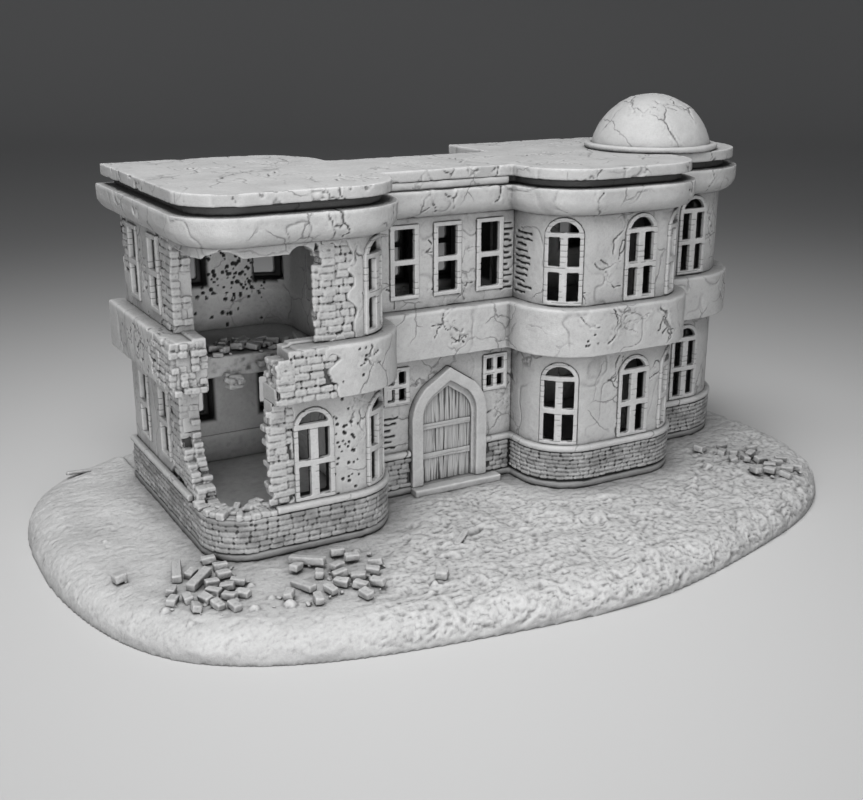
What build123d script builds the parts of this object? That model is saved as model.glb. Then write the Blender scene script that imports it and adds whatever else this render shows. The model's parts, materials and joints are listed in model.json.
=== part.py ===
from build123d import *
import math
import os

# Ruined two-storey terrain building for 28 mm miniatures, cast in resin as a kit.
# Millimetres, +Z up. The building is drawn in its own plan: x = 0 at the left edge of the
# roof slab, y = 0 on the centre front wall, z = 0 at the foot of the brick plinth.
# Every piece is then moved by ORIGIN, so that the model stands on z = 0, with its origin
# at the centre of the underside of the terrain base.

# ---------------------------------------------------------------- driving dimensions
ORIGIN = Vector(-121.5, -3.0, 14.0)

# Levels above the foot of the plinth
TABLE = -14.0
GROUND = -3.0
PLINTH_TOP = 13.2
MOULDING_TOP = 16.0
STOREY_SPLIT = 55.2
BELT_TOP = 74.7
CORNICE_BOTTOM = 111.4
CORNICE_TOP = 122.2
SLAB_BOTTOM = 125.6
SLAB_TOP = 130.0

# Floors
GROUND_FLOOR_TOP = 1.2
UPPER_FLOOR_BOTTOM = 51.5
UPPER_FLOOR_TOP = 60.0

# Plan thicknesses and overhangs, measured from the outer wall face
WALL = 8.0
PLINTH_OUT = 2.0
MOULDING_OUT = 2.6
BELT_OUT = 6.0
CORNICE_OUT = 7.0
SLAB_OUT = 5.0
NECK_OUT = 1.0
FIT = 0.4

# Plan of the outer wall face
LEFT = 4.6
LEFT_BLOCK_END = 78.0
BAY_START = 147.0
BAY_END = 217.5
RIGHT = 272.0
FRONT = -29.5
REAR = 72.5
REAR_RECESS_Y = 38.0
REAR_RECESS_END = 165.0
FRONT_LEFT_R = 15.0
BAY_R = 20.0
WING_R = 29.0

# Corners anticlockwise: x, y, radius, +1 where the wall turns outward and -1 where inward
CORNERS = [
    (LEFT, FRONT, FRONT_LEFT_R, 1),
    (LEFT_BLOCK_END, FRONT, BAY_R, 1),
    (LEFT_BLOCK_END, 0, 0, -1),
    (BAY_START, 0, 0, -1),
    (BAY_START, FRONT, BAY_R, 1),
    (BAY_END, FRONT, BAY_R, 1),
    (BAY_END, 0, 0, -1),
    (RIGHT, 0, WING_R, 1),
    (RIGHT, REAR, 0, 1),
    (REAR_RECESS_END, REAR, 0, 1),
    (REAR_RECESS_END, REAR_RECESS_Y, 0, -1),
    (LEFT_BLOCK_END, REAR_RECESS_Y, 0, -1),
    (LEFT_BLOCK_END, REAR, BAY_R, 1),
    (LEFT, REAR, 0, 1),
]

# Broken edges of the ruined corner
BREACH_SIDE_Y = 8.0
GROUND_BREACH_X = 27.0
UPPER_BREACH_X = 48.0
BELT_BREAK_Y = -5.0
BELT_BREAK_X = 27.0
COURSE = 3.1
TOOTH = 1.6
LINTEL_BOTTOM = 107.5

# Window frames: overall width and height, rail width, depth behind and in front of the wall
FRAME_IN = 2.2
FRAME_OUT = 0.8
RAIL = 1.6
ARCHED = (15.6, 35.3)
TALL = (12.6, 29.4)
SMALL = (11.6, 15.6)
CORNER_TURN = 40.0
GROUND_ARCHED_Z = 16.1
UPPER_ARCHED_Z = 75.3
GROUND_TALL_Z = 20.6
UPPER_TALL_Z = 79.3
SMALL_Z = 36.0

# Door
DOOR_X = 115.2
SURROUND = (17.7, 27.0, (15.9, 36.0), (11.5, 42.1), 49.6)
DOORWAY = (12.7, 28.0, (11.5, 34.6), (8.2, 38.8), 44.0)
SURROUND_OUT = 3.4
SURROUND_IN = 3.0
LEAF_FRONT = 0.6
LEAF_BACK = 2.6
PLANKS = 8
PLANK_GAP = 0.25
BATTEN_OUT = 0.9
BATTENS = ((10.3, 12.8), (23.2, 25.8))
STEP = (97.0, 138.0, -7.4)

# Dome
DOME = (233.0, 22.0)
DOME_R = 27.0
DOME_SINK = 3.4
DOME_RING_R = 29.5
DOME_RING_H = 2.6

# Terrain outline at the table, anticlockwise from the left end
TERRAIN = [
    (-49, 20), (-44, -24), (-24, -67), (25, -94), (76, -104), (136, -109), (199, -96),
    (250, -76), (282, -44), (292, 0), (290, 46), (276, 86), (232, 108), (150, 115),
    (50, 115), (-10, 107), (-41, 75),
]
TERRAIN_CENTRE = (121.5, 3.0)
# Inset from the outline and height of each section of the rounded rim
TERRAIN_RIM = [(0, TABLE), (0.6, -11.5), (3.0, -7.6), (7.5, -4.6), (13.0, GROUND)]

# Loose bricks
BRICK = (6.2, 3.2, 2.6)
GOLDEN = math.pi * (3 - math.sqrt(5))
TURN_STEP = 67
CLEAR = 0.2

# Planes beyond the building on every side, and one just inside its left wall, for cutting boxes
FAR_LEFT, FAR_RIGHT, FAR_FRONT, FAR_REAR, FAR_UP = -10, 300, -60, 90, 80
INSIDE_LEFT = 20


# ---------------------------------------------------------------- plan and solids
def sign(value):
    """+1 or -1, as the value is positive or negative."""
    return 1 if value > 0 else -1


def outline(out=0.0):
    """Face of the building's plan, its edge moved outward from the wall face by out."""
    count = len(CORNERS)
    moved = []
    for i, (x, y, radius, turn) in enumerate(CORNERS):
        before = CORNERS[i - 1]
        after = CORNERS[(i + 1) % count]
        vertical_in = abs(x - before[0]) < abs(y - before[1])
        # The outward normal lies to the right of the direction of travel
        if vertical_in:
            shift = (out * sign(y - before[1]), -out * sign(after[0] - x))
        else:
            shift = (out * sign(after[1] - y), -out * sign(x - before[0]))
        moved.append((x + shift[0], y + shift[1], max(radius + out * turn, 0) if radius else 0))
    with BuildLine() as path:
        last = None
        first = None
        for i, (x, y, radius) in enumerate(moved):
            px, py, _ = moved[i - 1]
            nx, ny, _ = moved[(i + 1) % count]
            back = Vector(px - x, py - y).normalized()
            ahead = Vector(nx - x, ny - y).normalized()
            corner = Vector(x, y)
            start = corner + back * radius
            end = corner + ahead * radius
            if last is not None:
                Line(last, start)
            else:
                first = start
            if radius:
                bulge = corner + (back + ahead) * radius * (1 - math.sqrt(0.5))
                ThreePointArc(start, bulge, end)
            last = end
        Line(last, first)
    return make_face(path.line)


def layer(out, bottom, top):
    """Solid block of the plan between two levels."""
    return Pos(0, 0, bottom) * extrude(outline(out), top - bottom)


def ring(out, inward, bottom, top):
    """Wall following the plan, from inward of the wall face to out of it."""
    return layer(out, bottom, top) - layer(-inward, bottom - 1, top + 1)


def block(x0, x1, y0, y1, z0, z1):
    """Axis-aligned box between two corners."""
    return Pos((x0 + x1) / 2, (y0 + y1) / 2, (z0 + z1) / 2) * Box(x1 - x0, y1 - y0, z1 - z0)


def region(x0, x1, y0, y1):
    """Box that cuts one panel's stretch out of a ring."""
    return block(x0, x1, y0, y1, -50, 200)


# ---------------------------------------------------------------- windows
def arched_shape(width, height):
    """Round-headed upright shape standing on the x axis."""
    radius = width / 2
    with BuildSketch() as shape:
        with Locations((0, (height - radius) / 2)):
            Rectangle(width, height - radius)
        with Locations((0, height - radius)):
            Circle(radius)
    return shape.sketch


def upright(width, height, bottom=0.0, centre=0.0):
    """Rectangle standing at a height above the x axis."""
    return Pos(centre, bottom + height / 2) * Rectangle(width, height)


def arched_panes():
    """Two rows of two panes under a round-headed fanlight."""
    width, height = ARCHED
    pane_w = (width - 2 * RAIL - 3.0) / 2
    side = 1.5 + pane_w / 2
    panes = [upright(pane_w, 11.8, z, x) for z in (RAIL, 15.7) for x in (-side, side)]
    inner = Pos(0, RAIL) * arched_shape(width - 2 * RAIL, height - 2 * RAIL)
    fanlight = inner & upright(width, 8, 29.4)
    return panes + [fanlight]


def tall_panes():
    """Two large panes one above the other."""
    width, height = TALL
    pane_h = (height - 2 * RAIL - 2.0) / 2
    return [upright(width - 2 * RAIL - 0.6, pane_h, z) for z in (RAIL, RAIL + pane_h + 2.0)]


def small_panes():
    """Two rows of two small panes."""
    width, height = SMALL
    pane_w = (width - 2 * RAIL - 1.8) / 2
    pane_h = (height - 2 * RAIL - 1.8) / 2
    side = 0.9 + pane_w / 2
    return [upright(pane_w, pane_h, z, x) for z in (RAIL, RAIL + pane_h + 1.8) for x in (-side, side)]


STYLES = {
    "arched": (lambda: arched_shape(*ARCHED), arched_panes),
    "tall": (lambda: upright(*TALL), tall_panes),
    "small": (lambda: upright(*SMALL), small_panes),
}


def facing(x, y, turn, z):
    """Plane on the wall, looking outward; turn is in degrees from the front toward the left."""
    angle = math.radians(turn)
    normal = Vector(-math.sin(angle), -math.cos(angle), 0)
    return Plane(origin=(x, y, z), x_dir=(-normal.Y, normal.X, 0), z_dir=normal)


def through(plane, shape, reach=14.0):
    """Prism of a wall shape, reaching out of both faces of the wall."""
    return extrude(plane * shape, amount=reach, both=True)


def on_corner(x, y, radius, turn):
    """Point on a rounded corner whose centre is x, y."""
    angle = math.radians(turn)
    return (x - radius * math.sin(angle), y - radius * math.cos(angle), turn)


BAY_LEFT = on_corner(BAY_START + BAY_R, FRONT + BAY_R, BAY_R, CORNER_TURN)
BAY_RIGHT = on_corner(BAY_END - BAY_R, FRONT + BAY_R, BAY_R, -CORNER_TURN)
LEFT_CORNER = on_corner(LEFT_BLOCK_END - BAY_R, FRONT + BAY_R, BAY_R, -42)
LEFT_SIDE = [(LEFT, 54.5, 90), (LEFT, 27.6, 90)]
CENTRE_UPPER = [(95.8, 0, 0), (115.2, 0, 0), (135.0, 0, 0)]
CENTRE_GROUND = [(91.8, 0, 0), (138.3, 0, 0)]
REAR_ALL = [
    (64.0, REAR, 180), (30.0, REAR, 180),
    (108.5, REAR_RECESS_Y, 180), (131.3, REAR_RECESS_Y, 180), (151.0, REAR_RECESS_Y, 180),
    (190.0, REAR, 180), (222.0, REAR, 180), (252.0, REAR, 180), (RIGHT, 52.0, -90),
]

GROUND_WINDOWS = {
    "left_side": ("tall", GROUND_TALL_Z, LEFT_SIDE),
    "left_front": ("arched", GROUND_ARCHED_Z, [(42.6, FRONT, 0)]),
    "left_corner": ("arched", GROUND_ARCHED_Z, [LEFT_CORNER]),
    "centre": ("small", SMALL_Z, CENTRE_GROUND),
    "bay_left": ("arched", GROUND_ARCHED_Z, [BAY_LEFT]),
    "bay_front": ("arched", GROUND_ARCHED_Z, [(188.8, FRONT, 0)]),
    "bay_right": ("arched", GROUND_ARCHED_Z, [BAY_RIGHT]),
    "wing": ("arched", GROUND_ARCHED_Z, [(242.0, 0, 0)]),
    "rear": ("tall", GROUND_TALL_Z, REAR_ALL),
}
UPPER_WINDOWS = {
    "left_side": ("tall", UPPER_TALL_Z, LEFT_SIDE),
    "left_corner": ("arched", UPPER_ARCHED_Z, [LEFT_CORNER]),
    "centre": ("tall", UPPER_TALL_Z, CENTRE_UPPER),
    "bay_left": ("arched", UPPER_ARCHED_Z, [BAY_LEFT]),
    "bay_front": ("arched", UPPER_ARCHED_Z, [(188.8, FRONT, 0)]),
    "bay_right": ("arched", UPPER_ARCHED_Z, [BAY_RIGHT]),
    "wing": ("arched", UPPER_ARCHED_Z, [(242.0, 0, 0)]),
    "rear": ("tall", UPPER_TALL_Z, REAR_ALL),
}


def window_holes(windows):
    """All openings that a storey's windows need in its walls."""
    return [
        through(facing(x, y, turn, z), STYLES[style][0]())
        for style, z, places in windows.values()
        for x, y, turn in places
    ]


def window_frames(windows):
    """Frames that fill the openings, bent to the wall where the wall is round."""
    sleeve = ring(FRAME_OUT, FRAME_IN, GROUND, CORNICE_TOP)
    frames = {}
    for name, (style, z, places) in windows.items():
        shape, panes = STYLES[style]
        solids = []
        for x, y, turn in places:
            plane = facing(x, y, turn, z)
            frame = sleeve & through(plane, shape(), 10)
            for pane in panes():
                frame -= through(plane, pane)
            solids.append(frame)
        frames[name] = group(solids)
    return frames


def group(shapes):
    """Separate solids held as one node."""
    return Compound([solid for shape in shapes for solid in shape.solids()])


# ---------------------------------------------------------------- walls
PANELS = {
    "left_side": (FAR_LEFT, INSIDE_LEFT, BREACH_SIDE_Y, REAR - WALL),
    "left_rear": (FAR_LEFT, LEFT_BLOCK_END, REAR_RECESS_Y, FAR_REAR),
    "centre_front": (LEFT_BLOCK_END, BAY_START, -10, WALL),
    "core": (LEFT_BLOCK_END - WALL, REAR_RECESS_END + WALL, REAR_RECESS_Y - WALL, REAR_RECESS_Y),
    "bay": (BAY_START, BAY_END, -50, WALL),
    "wing": (BAY_END, FAR_RIGHT, -10, REAR_RECESS_Y),
    "right_rear": (REAR_RECESS_END - 20, FAR_RIGHT, REAR_RECESS_Y, FAR_REAR),
}


def partitions(bottom, top):
    """Cross walls between the centre and the two end blocks."""
    y0 = WALL
    y1 = REAR_RECESS_Y - WALL
    left = block(LEFT_BLOCK_END - WALL, LEFT_BLOCK_END, y0, y1, bottom, top)
    right = block(BAY_START, BAY_START + WALL, y0, y1, bottom, top)
    return left + right


def teeth(x, y0, y1, bottom, top):
    """Every second brick course missing along a broken upright edge at x."""
    count = int((top - bottom) / (2 * COURSE))
    return [
        block(x - 5, x + TOOTH, y0, y1, z, z + COURSE)
        for z in (bottom + 2 * COURSE * k for k in range(count))
    ]


def wall_panels(bottom, top, windows, breach_x, partition_bottom, partition_top):
    """Panels of one storey: the wall ring with its openings, cut where the panels meet."""
    wall = ring(0, WALL, bottom, top)
    for hole in window_holes(windows):
        wall -= hole
    places = dict(PANELS)
    places["left_front"] = (breach_x, LEFT_BLOCK_END, -50, WALL)
    panels = {name: wall & region(*place) for name, place in places.items()}
    panels["left_rear"] -= region(FAR_LEFT, INSIDE_LEFT, 0, REAR - WALL)
    panels["core"] += partitions(partition_bottom, partition_top)
    for tooth in teeth(breach_x, FRONT - 1, FRONT + WALL + 1, bottom + COURSE, top):
        panels["left_front"] -= tooth
    return panels


def ground_walls():
    """Ground storey walls, with the doorway and the stepped stub at the breach."""
    panels = wall_panels(PLINTH_TOP, STOREY_SPLIT, GROUND_WINDOWS, GROUND_BREACH_X,
                         GROUND_FLOOR_TOP, UPPER_FLOOR_BOTTOM - FIT)
    panels["centre_front"] -= doorway_hole()
    stub = ring(0, WALL, PLINTH_TOP, STOREY_SPLIT) & region(FAR_LEFT, INSIDE_LEFT, -20, BREACH_SIDE_Y)
    for step in range(5):
        edge = BREACH_SIDE_Y - 16 + 4 * step
        foot = PLINTH_TOP + 4.4 * (step + 1)
        stub -= block(FAR_LEFT, INSIDE_LEFT, FAR_FRONT, edge, foot - 4.4, FAR_UP)
    stub -= block(FAR_LEFT, INSIDE_LEFT, FAR_FRONT, 60, PLINTH_TOP + 22, FAR_UP)
    panels["left_side"] += stub
    return panels


def upper_walls():
    """Upper storey walls."""
    return wall_panels(BELT_TOP, CORNICE_BOTTOM, UPPER_WINDOWS, UPPER_BREACH_X,
                       UPPER_FLOOR_TOP, CORNICE_TOP - 4)


def breach_lintel():
    """Strip of wall left hanging under the cornice, with a scalloped lower edge."""
    strip = ring(0, WALL, LINTEL_BOTTOM, CORNICE_BOTTOM)
    strip &= region(-10, UPPER_BREACH_X, -60, BREACH_SIDE_Y)
    for x, radius in ((13.0, 8.0), (40.5, 5.0)):
        strip -= Pos(x, FRONT, LINTEL_BOTTOM - radius + 2.6) * Rot(90, 0, 0) * Cylinder(radius, 30)
    return strip


# ---------------------------------------------------------------- plinth, belt, cornice
def plinth():
    """Brick plinth in panels, with its gap for the door."""
    base = ring(PLINTH_OUT, WALL, 0, PLINTH_TOP) - doorway_hole()
    return {
        "plinth_left": base & region(-10, LEFT_BLOCK_END + PLINTH_OUT, -60, REAR - WALL)
        & (region(FAR_LEFT, INSIDE_LEFT, FAR_FRONT, FAR_REAR)
           + region(FAR_LEFT, LEFT_BLOCK_END + PLINTH_OUT, FAR_FRONT, 0)
           + region(60, LEFT_BLOCK_END, -60, WALL)),
        "plinth_centre": base & region(LEFT_BLOCK_END, BAY_START, -PLINTH_OUT, WALL)
        & (region(LEFT_BLOCK_END + PLINTH_OUT, BAY_START - PLINTH_OUT, -9, 9)
           + region(LEFT_BLOCK_END, BAY_START, 0, WALL)),
        "plinth_bay": base & (region(BAY_START - PLINTH_OUT, BAY_END + PLINTH_OUT, -60, 0)
                              + region(BAY_START, BAY_END, -60, WALL)),
        "plinth_wing": base & (region(BAY_END + PLINTH_OUT, FAR_RIGHT, -9, REAR_RECESS_Y)
                               + region(BAY_END, FAR_RIGHT, 0, REAR_RECESS_Y)),
        "plinth_rear": base & (region(INSIDE_LEFT, FAR_RIGHT, REAR_RECESS_Y, FAR_REAR)
                               + region(FAR_LEFT, INSIDE_LEFT, REAR - WALL, FAR_REAR)
                               + region(60, REAR_RECESS_END + WALL, REAR_RECESS_Y - WALL, FAR_REAR)),
    }


def plinth_moulding():
    """Half-round ledge on the plinth, broken away at the breach and at the door."""
    height = MOULDING_TOP - PLINTH_TOP
    ledge = layer(MOULDING_OUT, PLINTH_TOP, MOULDING_TOP)
    rims = ledge.edges().filter_by_position(Axis.Z, PLINTH_TOP, PLINTH_TOP)
    rims += ledge.edges().filter_by_position(Axis.Z, MOULDING_TOP, MOULDING_TOP)
    ledge = fillet(rims, height * 0.45)
    ledge -= layer(0, PLINTH_TOP - 1, MOULDING_TOP + 1)
    ledge -= region(-10, GROUND_BREACH_X, -60, BREACH_SIDE_Y - 12)
    return ledge - doorway_hole()


def belt():
    """Belt course round the upper floor, broken away at the ruined corner."""
    band = layer(BELT_OUT, STOREY_SPLIT, BELT_TOP)
    band = fillet(band.edges().filter_by_position(Axis.Z, BELT_TOP, BELT_TOP), 1.0)
    band -= layer(-WALL, STOREY_SPLIT - 1, BELT_TOP + 1)
    band -= region(-10, BELT_BREAK_X, -60, BELT_BREAK_Y)
    for step in range(3):
        low = STOREY_SPLIT + 6.2 * (step + 1)
        band -= block(-10, BELT_BREAK_X + 3 * (step + 1), -60, BELT_BREAK_Y, low, BELT_TOP + 1)
    front = region(INSIDE_LEFT, FAR_RIGHT, FAR_FRONT, REAR_RECESS_Y - WALL)
    return {"belt_front": band & front, "belt_rear": band - front}


def cornice():
    """Overhanging cornice with a quarter-round underside."""
    ledge = layer(CORNICE_OUT, CORNICE_BOTTOM, CORNICE_TOP)
    rim = ledge.edges().filter_by_position(Axis.Z, CORNICE_BOTTOM, CORNICE_BOTTOM)
    ledge = fillet(rim, CORNICE_OUT - 0.6)
    return ledge - layer(-WALL, CORNICE_BOTTOM - 1, CORNICE_TOP + 1)


# ---------------------------------------------------------------- floors and roof
def upper_floor():
    """Floor of the upper storey; its lower part drops inside the ground walls to locate it."""
    slab = layer(-WALL, STOREY_SPLIT, UPPER_FLOOR_TOP)
    slab += layer(-WALL - FIT, UPPER_FLOOR_BOTTOM, STOREY_SPLIT)
    broken = Polyline((-20, 20.5), (24, 22), (44, 20), (52, 20.5), (57, 12), (56, 3), (48, -12),
                      (38, -20), (36, -60), (-20, -60), close=True)
    slab -= Pos(0, 0, UPPER_FLOOR_BOTTOM - 1) * extrude(make_face(broken), 20)
    lump = block(28.5, 34, 18.5, 22.5, UPPER_FLOOR_BOTTOM - 4.5, UPPER_FLOOR_BOTTOM + 1)
    return slab + lump


def roof_neck():
    """Recessed neck under the roof slab, with a lip that drops inside the cornice."""
    neck = layer(NECK_OUT, CORNICE_TOP, SLAB_BOTTOM)
    neck += block(LEFT_BLOCK_END + 6, BAY_START - 6, -SLAB_OUT + 0.3, 5, CORNICE_TOP, SLAB_BOTTOM)
    lip = ring(-WALL - FIT, WALL + FIT + 3, CORNICE_TOP - 3, CORNICE_TOP)
    return neck + lip


def dome_ring():
    """Rounded curb round the foot of the dome."""
    curb = Pos(*DOME, SLAB_TOP + DOME_RING_H / 2) * Cylinder(DOME_RING_R, DOME_RING_H)
    curb = fillet(curb.edges(), DOME_RING_H * 0.45)
    bowl = Pos(*DOME, SLAB_TOP - DOME_SINK) * Sphere(DOME_R)
    return curb - bowl


def dome():
    """Solid cast dome standing inside its curb."""
    ball = Pos(*DOME, SLAB_TOP - DOME_SINK) * Sphere(DOME_R)
    return ball & block(150, 320, -80, 120, SLAB_TOP, SLAB_TOP + 60)


# ---------------------------------------------------------------- door
def pointed(shape):
    """Pointed arch: half width, springing, haunch point, shoulder point and apex height."""
    half, spring, haunch, shoulder, apex = shape
    with BuildLine() as path:
        Line((-half, 0), (half, 0))
        Line((half, 0), (half, spring))
        ThreePointArc((half, spring), haunch, shoulder)
        Line(shoulder, (0, apex))
        Line((0, apex), (-shoulder[0], shoulder[1]))
        ThreePointArc((-shoulder[0], shoulder[1]), (-haunch[0], haunch[1]), (-half, spring))
        Line((-half, spring), (-half, 0))
    return make_face(path.line)


def door_slice(shape, front, back):
    """Pointed shape between two distances behind the wall face."""
    plane = Plane(origin=(DOOR_X, front, 0), x_dir=(1, 0, 0), z_dir=(0, -1, 0))
    return extrude(plane * shape, amount=front - back)


def doorway_hole():
    """Space that the door and its surround take out of the wall."""
    return door_slice(pointed(SURROUND), -20, 20)


def door_surround():
    """Flat pointed surround with a narrower step inside it."""
    frame = door_slice(pointed(SURROUND), -SURROUND_OUT, SURROUND_IN)
    frame -= door_slice(pointed(DOORWAY), -20, 20)
    half = DOORWAY[0]
    return frame + (
        door_slice(pointed(DOORWAY), LEAF_FRONT - 1.6, LEAF_FRONT)
        - door_slice(Pos(0, -1) * scale(pointed(DOORWAY), by=((half - 1.1) / half, 0.96, 1)), -20, 20)
    )


def door_leaf():
    """Vertical planks of the door."""
    leaf = door_slice(pointed(DOORWAY), LEAF_FRONT, LEAF_BACK)
    pitch = 2 * DOORWAY[0] / PLANKS
    planks = []
    for k in range(PLANKS):
        x = DOOR_X - DOORWAY[0] + pitch * k
        planks.append(leaf & block(x + PLANK_GAP / 2, x + pitch - PLANK_GAP / 2, -9, 9, -1, 60))
    return group(planks)


def door_battens():
    """Cross battens on the face of the door."""
    half = DOORWAY[0] - 1.3
    return group([
        block(DOOR_X - half, DOOR_X + half, LEAF_FRONT - BATTEN_OUT, LEAF_FRONT, low, high)
        for low, high in BATTENS
    ])


def door_step():
    """Stone step in front of the door."""
    x0, x1, y0 = STEP
    step = block(x0, x1, y0, -PLINTH_OUT, GROUND, 0)
    return fillet(step.edges().filter_by(Axis.Z), 0.8)


# ---------------------------------------------------------------- terrain and rubble
def terrain_section(inset, height):
    """Outline of the terrain base, drawn in by inset toward its centre."""
    cx, cy = TERRAIN_CENTRE
    points = []
    for x, y in TERRAIN:
        span = math.hypot(x - cx, y - cy)
        share = (span - inset) / span
        points.append((cx + (x - cx) * share, cy + (y - cy) * share))
    return Pos(0, 0, height) * make_face(Spline(*points, periodic=True))


def terrain_base():
    """Low mound with a rounded rim and a level top for the building."""
    return loft([terrain_section(*rim) for rim in TERRAIN_RIM])


def scatter(count, centre, spread, size, floor):
    """Loose blocks laid out along a sunflower spiral, each turned differently."""
    blocks = []
    for k in range(count):
        reach = math.sqrt((k + 0.5) / count)
        x = centre[0] + spread[0] * reach * math.cos(GOLDEN * k)
        y = centre[1] + spread[1] * reach * math.sin(GOLDEN * k)
        turn = (k * TURN_STEP) % 180
        blocks.append(Pos(x, y, floor + size[2] / 2) * Rot(0, 0, turn) * Box(*size))
    return blocks


def placed(size, floor, places):
    """Blocks of one size at chosen places: x, y and turn in degrees."""
    return [Pos(x, y, floor + size[2] / 2) * Rot(0, 0, turn) * Box(*size) for x, y, turn in places]


def clear_of(others, blocks):
    """The blocks that touch none of the others and none of the blocks before them."""
    kept = []
    for piece in blocks:
        if all(piece.distance_to(other) > CLEAR for other in others + kept):
            kept.append(piece)
    return kept


def rubble():
    """Loose pieces lying on the ground and on the floors."""
    beams = placed((14, 3.4, 3.0), GROUND, [(-11, -29, 73), (-6, -38.5, 45), (33, -43, -49)])
    beams += placed((11, 3.2, 2.4), GROUND, [(24, -60, -74)])
    stones = placed((5.5, 4.5, 3.0), GROUND, [(236, -21.5, 20), (-30, -24, 10), (70, -76, 50)])
    stones += placed((11, 2.4, 1.6), GROUND, [(-18, 88, 15), (92, -52, 40)])
    room = placed(BRICK, GROUND_FLOOR_TOP, [(22, -14, 30), (31, -12, 80), (20, -4, 120), (40, -15, 10)])
    upper = scatter(14, (35, 31), (17, 7.5), BRICK, UPPER_FLOOR_TOP)
    upper += placed((12, 3.6, 2.6), UPPER_FLOOR_TOP, [(62, 28, 75), (62, 8, 120)])
    front = scatter(27, (-5, -43), (15, 22), BRICK, GROUND)
    front += scatter(26, (36, -58), (20, 20), BRICK, GROUND)
    front = clear_of(beams, front)
    right = clear_of([], scatter(20, (248, -45), (13, 22), BRICK, GROUND))
    return {
        "rubble_bricks": group(front + right),
        "rubble_beams": group(beams),
        "loose_stones": group(stones),
        "ground_room_rubble": group(room),
        "upper_room_rubble": group(upper),
    }


# ---------------------------------------------------------------- all pieces
def pieces():
    """Every piece of the model by name."""
    made = {
        "terrain_base": terrain_base(),
        "footing": ring(PLINTH_OUT, WALL, GROUND, 0),
        "ground_floor": layer(-WALL, GROUND, GROUND_FLOOR_TOP),
        "plinth_moulding": plinth_moulding(),
        "door_surround": door_surround(),
        "door_leaf": door_leaf(),
        "door_battens": door_battens(),
        "door_step": door_step(),
        "upper_floor": upper_floor(),
        "breach_lintel": breach_lintel(),
        "cornice": cornice(),
        "roof_neck": roof_neck(),
        "roof_slab": layer(SLAB_OUT, SLAB_BOTTOM, SLAB_TOP),
        "dome_ring": dome_ring(),
        "dome": dome(),
    }
    made.update(plinth())
    made.update(belt())
    made.update(rubble())
    for name, panel in ground_walls().items():
        made["ground_wall_" + name] = panel
    for name, panel in upper_walls().items():
        made["upper_wall_" + name] = panel
    for name, frame in window_frames(GROUND_WINDOWS).items():
        made["ground_window_" + name] = frame
    for name, frame in window_frames(UPPER_WINDOWS).items():
        made["upper_window_" + name] = frame
    return made


os.makedirs("parts", exist_ok=True)
for name, shape in pieces().items():
    moved = Compound([Pos(ORIGIN) * solid for solid in shape.solids()])
    export_step(moved, os.path.join("parts", name + ".step"))
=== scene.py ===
import json
import math
import random

import bpy
import bmesh
import numpy as np
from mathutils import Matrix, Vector


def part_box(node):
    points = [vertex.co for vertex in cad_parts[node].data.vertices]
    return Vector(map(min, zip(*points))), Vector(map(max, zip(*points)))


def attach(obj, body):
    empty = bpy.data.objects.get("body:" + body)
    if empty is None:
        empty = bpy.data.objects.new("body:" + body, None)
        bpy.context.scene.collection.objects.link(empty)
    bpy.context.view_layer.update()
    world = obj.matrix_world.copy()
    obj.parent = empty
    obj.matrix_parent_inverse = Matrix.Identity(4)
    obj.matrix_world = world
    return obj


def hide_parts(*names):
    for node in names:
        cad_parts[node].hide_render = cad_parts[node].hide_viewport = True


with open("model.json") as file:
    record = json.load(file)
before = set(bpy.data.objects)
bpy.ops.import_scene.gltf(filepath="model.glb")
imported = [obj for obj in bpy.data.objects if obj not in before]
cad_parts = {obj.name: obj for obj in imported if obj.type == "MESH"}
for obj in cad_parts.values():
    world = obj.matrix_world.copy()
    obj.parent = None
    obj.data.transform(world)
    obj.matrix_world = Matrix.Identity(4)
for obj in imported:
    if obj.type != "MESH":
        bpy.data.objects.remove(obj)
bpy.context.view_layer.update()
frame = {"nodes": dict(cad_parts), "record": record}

MM = 0.001
COARSE = 1.0
NODES = frame["nodes"]
BODY = {node: body for body, nodes in frame["record"]["behaviour"]["bodies"].items() for node in nodes}

# ---- building dimensions, millimetres
# The building is described in its own plan, x = 0 at the roof slab's left edge, y = 0 on the
# centre front wall and z = 0 at the foot of the plinth. ORIGIN moves it to the frame.
LEFT, LEFT_END, BAY_START, BAY_END, RIGHT = 4.6, 78.0, 147.0, 217.5, 272.0
FRONT, REAR = -29.5, 72.5
RECESS_Y, RECESS_END = 38.0, 165.0
WALL = 8.0
PLINTH_TOP, SPLIT, BELT_TOP = 13.2, 55.2, 74.7
CORNICE_BOTTOM = 111.4
PLINTH_OUT, BELT_OUT = 2.0, 6.0
COURSE, BARE_COURSE, STUB_COURSE = 3.1, 2.75, 2.2
WALL_VOXEL, REAR_WALL_VOXEL, BRICK_VOXEL, REAR_BRICK_VOXEL, RUBBLE_VOXEL = 0.44, 0.75, 0.36, 0.5, 0.3
UPPER_FLOOR_TOP = 60.0

ORIGIN = np.array([
    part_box("ground_wall_left_side")[0].x / MM - LEFT,
    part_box("ground_wall_centre_front")[0].y / MM,
    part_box("footing")[1].z / MM,
])

# Corners of the wall face from the rear left corner, anticlockwise: x, y, radius
CORNERS = [
    (LEFT, REAR, 0), (LEFT, FRONT, 15), (LEFT_END, FRONT, 20), (LEFT_END, 0, 0),
    (BAY_START, 0, 0), (BAY_START, FRONT, 20), (BAY_END, FRONT, 20), (BAY_END, 0, 0),
    (RIGHT, 0, 29), (RIGHT, REAR, 0), (RECESS_END, REAR, 0), (RECESS_END, RECESS_Y, 0),
    (LEFT_END, RECESS_Y, 0), (LEFT_END, REAR, 20),
]


def to_world(points):
    """Building millimetres to frame metres."""
    return (np.asarray(points, float) + ORIGIN) * MM


def to_building(points):
    """Frame metres to building millimetres."""
    return np.asarray(points, float) / MM - ORIGIN


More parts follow.
